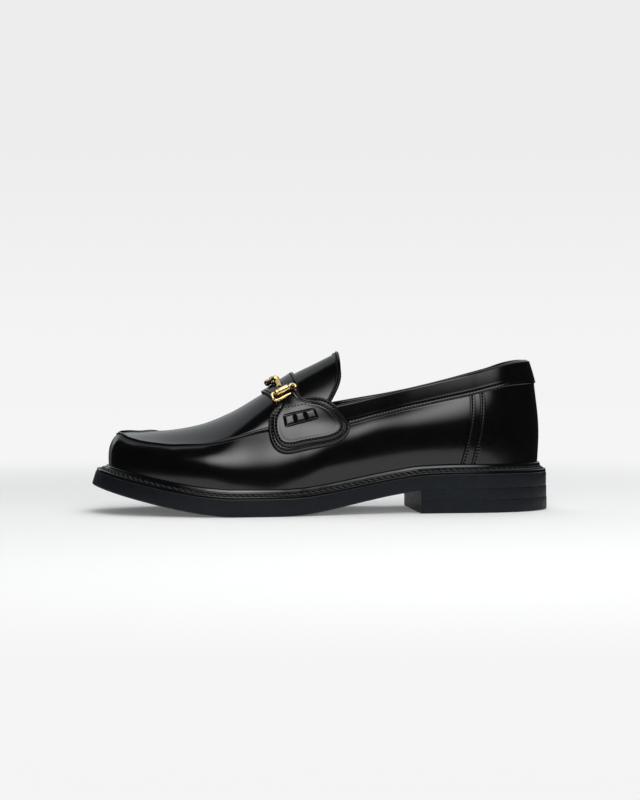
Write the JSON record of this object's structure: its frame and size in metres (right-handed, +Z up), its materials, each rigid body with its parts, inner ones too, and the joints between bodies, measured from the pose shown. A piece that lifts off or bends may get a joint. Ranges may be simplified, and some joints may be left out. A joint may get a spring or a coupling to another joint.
{
  "type": "loafer",
  "caption": "Black polished leather loafer with a raised apron seam, a saddle strap, a gold-coloured metal bit and a stitched welt on a low rubber heel.",
  "frame": {"origin": "middle of the shoe's box, on the floor it stands on", "axes": "+X from toe to heel, +Y to the inner side of the foot, +Z up"},
  "size_m": [0.2985, 0.1075, 0.1031],
  "materials": {
    "upper_leather": "polished",
    "welt_leather": "satin",
    "footbed_leather": "matte",
    "sole_rubber": "matte",
    "gold_metal": "polished"
  },
  "bodies": {
    "root": {"upper": "upper_leather", "saddle_strap": "upper_leather", "saddle_base_outer": "upper_leather", "saddle_base_inner": "upper_leather", "saddle_tab_outer": "upper_leather", "saddle_tab_inner": "upper_leather", "welt": "welt_leather", "insole": "footbed_leather", "outsole": "sole_rubber", "heel_lift": "sole_rubber", "heel_top_piece": "sole_rubber", "bit_ring_outer": "gold_metal", "bit_ring_inner": "gold_metal", "bit_link": "gold_metal"}
  },
  "joints": []
}
